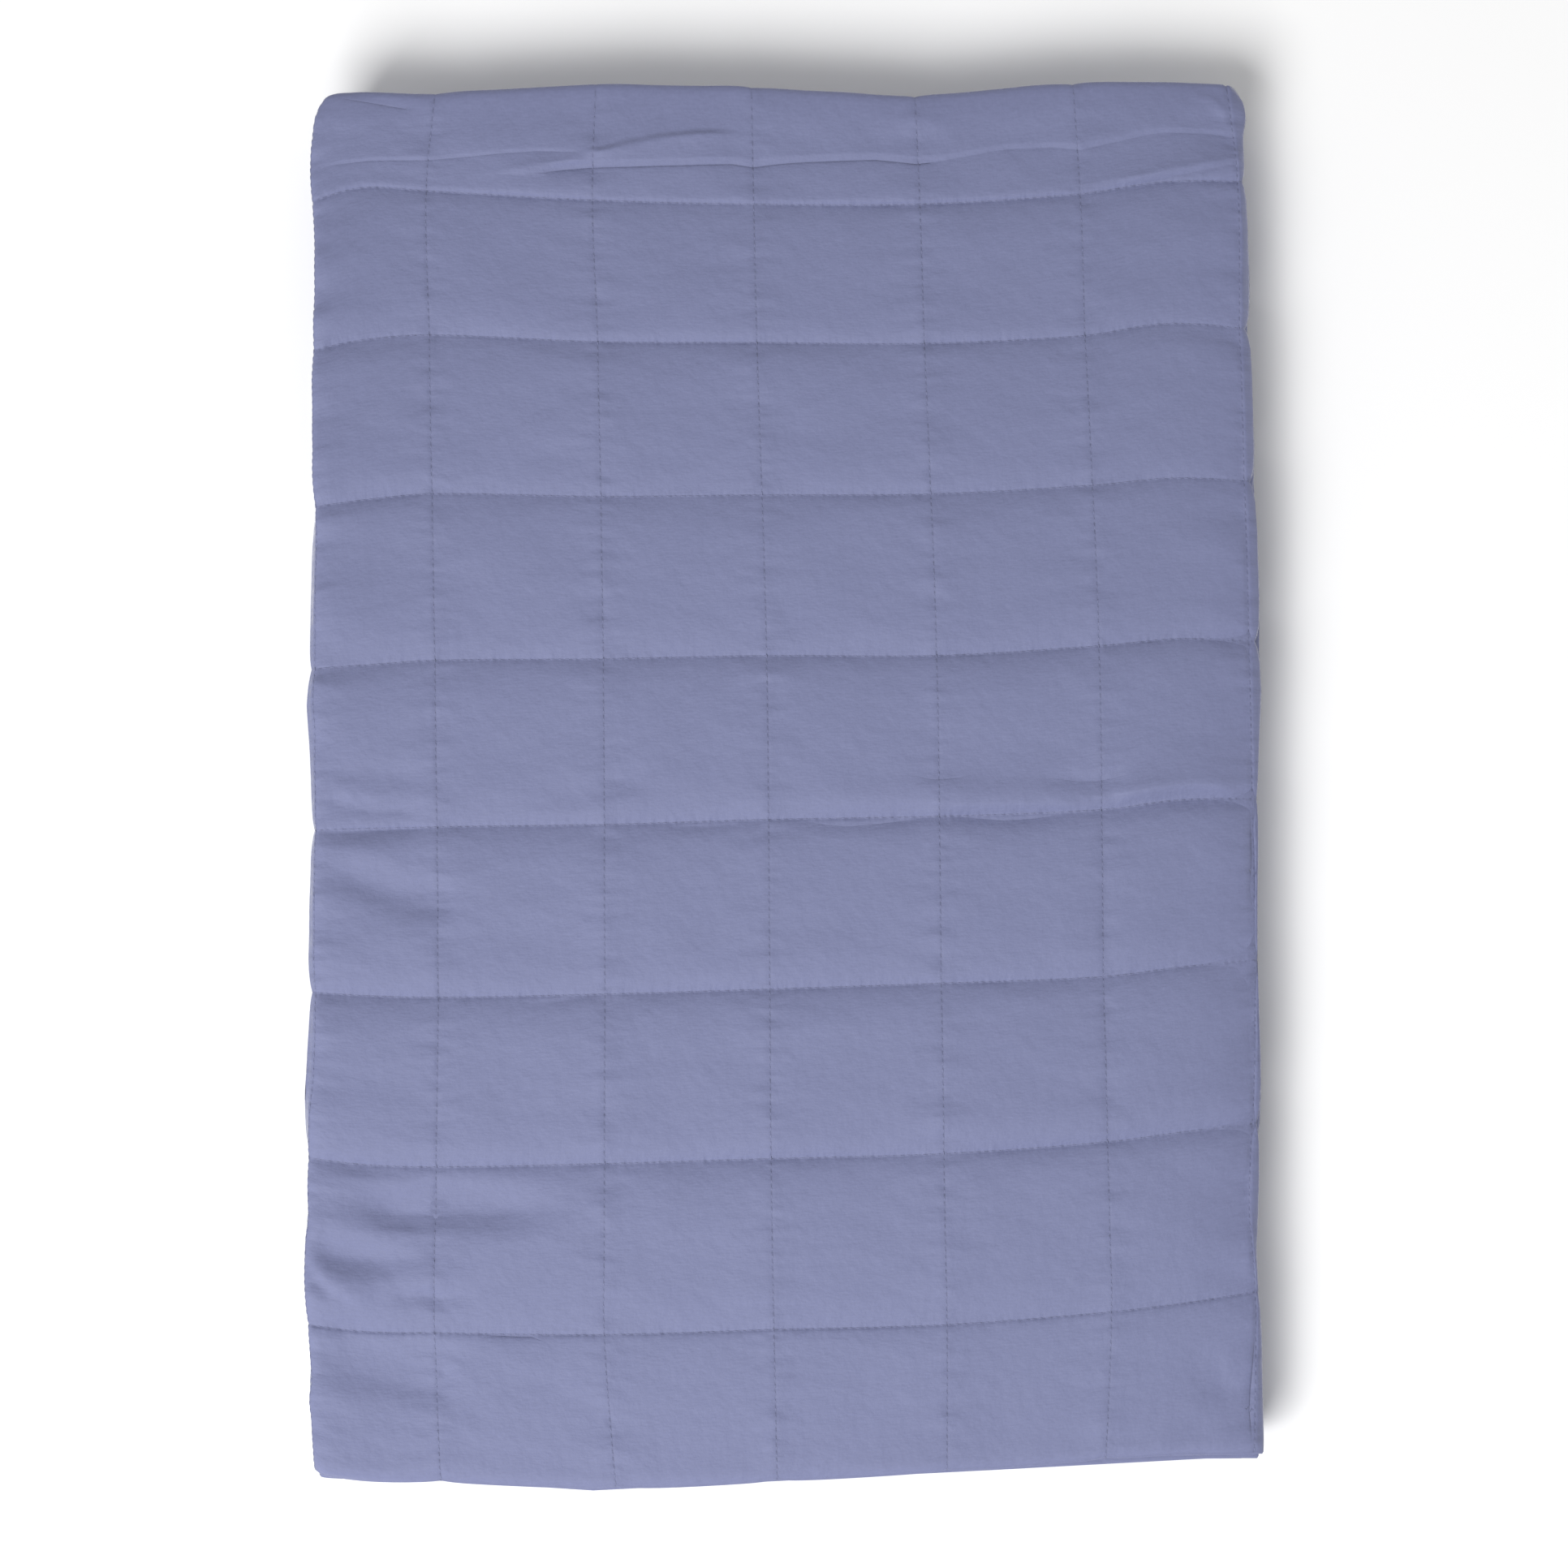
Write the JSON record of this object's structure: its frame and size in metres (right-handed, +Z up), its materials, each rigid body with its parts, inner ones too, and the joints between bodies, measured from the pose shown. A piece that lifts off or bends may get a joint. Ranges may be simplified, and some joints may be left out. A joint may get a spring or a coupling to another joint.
{
  "type": "folded quilted bedspread",
  "caption": "Thin bedspread quilted in large squares, folded back and forth across and then along into a flat pack with one thick rounded fold.",
  "frame": {"origin": "on the surface it lies on, under the middle of the folded pack's box", "axes": "+Z up through the stack of layers, +X across the folded width from the hemmed side to the folded side, +Y along the folded length towards the thick fold that closes the top layers"},
  "size_m": [0.5822, 0.8548, 0.0675],
  "materials": {
    "quilted_cotton": "smooth washed cotton sateen in a greyed lavender blue, lightly filled and stitched in squares with thread of the same colour"
  },
  "bodies": {
    "root": {"bedspread": "quilted_cotton"}
  },
  "joints": []
}
